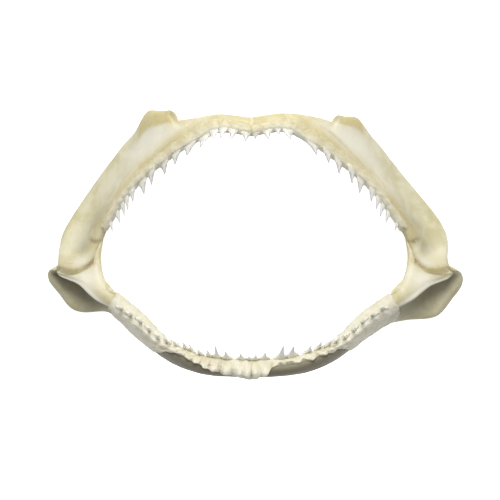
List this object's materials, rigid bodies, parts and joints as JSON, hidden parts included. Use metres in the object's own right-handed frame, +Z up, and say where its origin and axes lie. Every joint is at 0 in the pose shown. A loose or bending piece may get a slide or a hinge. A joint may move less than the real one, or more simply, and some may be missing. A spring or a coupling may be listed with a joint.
{
  "type": "shark jaw",
  "caption": "Dried jaws of a shark spread wide open, lying on their back: bowed upper and lower cartilages joined at the corners, with pointed teeth standing in strips of dried gum.",
  "frame": {"origin": "middle of the bounding box in x and y, at the height of the surface that the jaws lie on", "axes": "+X across the mouth towards the right as one looks down into it, +Y from the lower jaw towards the upper jaw, +Z up out of the mouth"},
  "size_m": [0.2522, 0.1559, 0.0881],
  "materials": {
    "cartilage": "dry, waxy cream cartilage with yellow stains, slightly translucent",
    "gum": "dried amber to buff gum skin and ligament, with hard translucent white teeth"
  },
  "bodies": {
    "root": {"cartilage_upper_left": "cartilage", "cartilage_upper_right": "cartilage", "cartilage_lower_left": "cartilage", "cartilage_lower_right": "cartilage", "gum_and_teeth_upper_left": "gum", "gum_and_teeth_upper_right": "gum", "gum_and_teeth_lower_left": "gum", "gum_and_teeth_lower_right": "gum", "ligament_corner_left": "gum", "ligament_corner_right": "gum", "ligament_upper_midline": "gum", "ligament_lower_midline": "gum"}
  },
  "joints": []
}
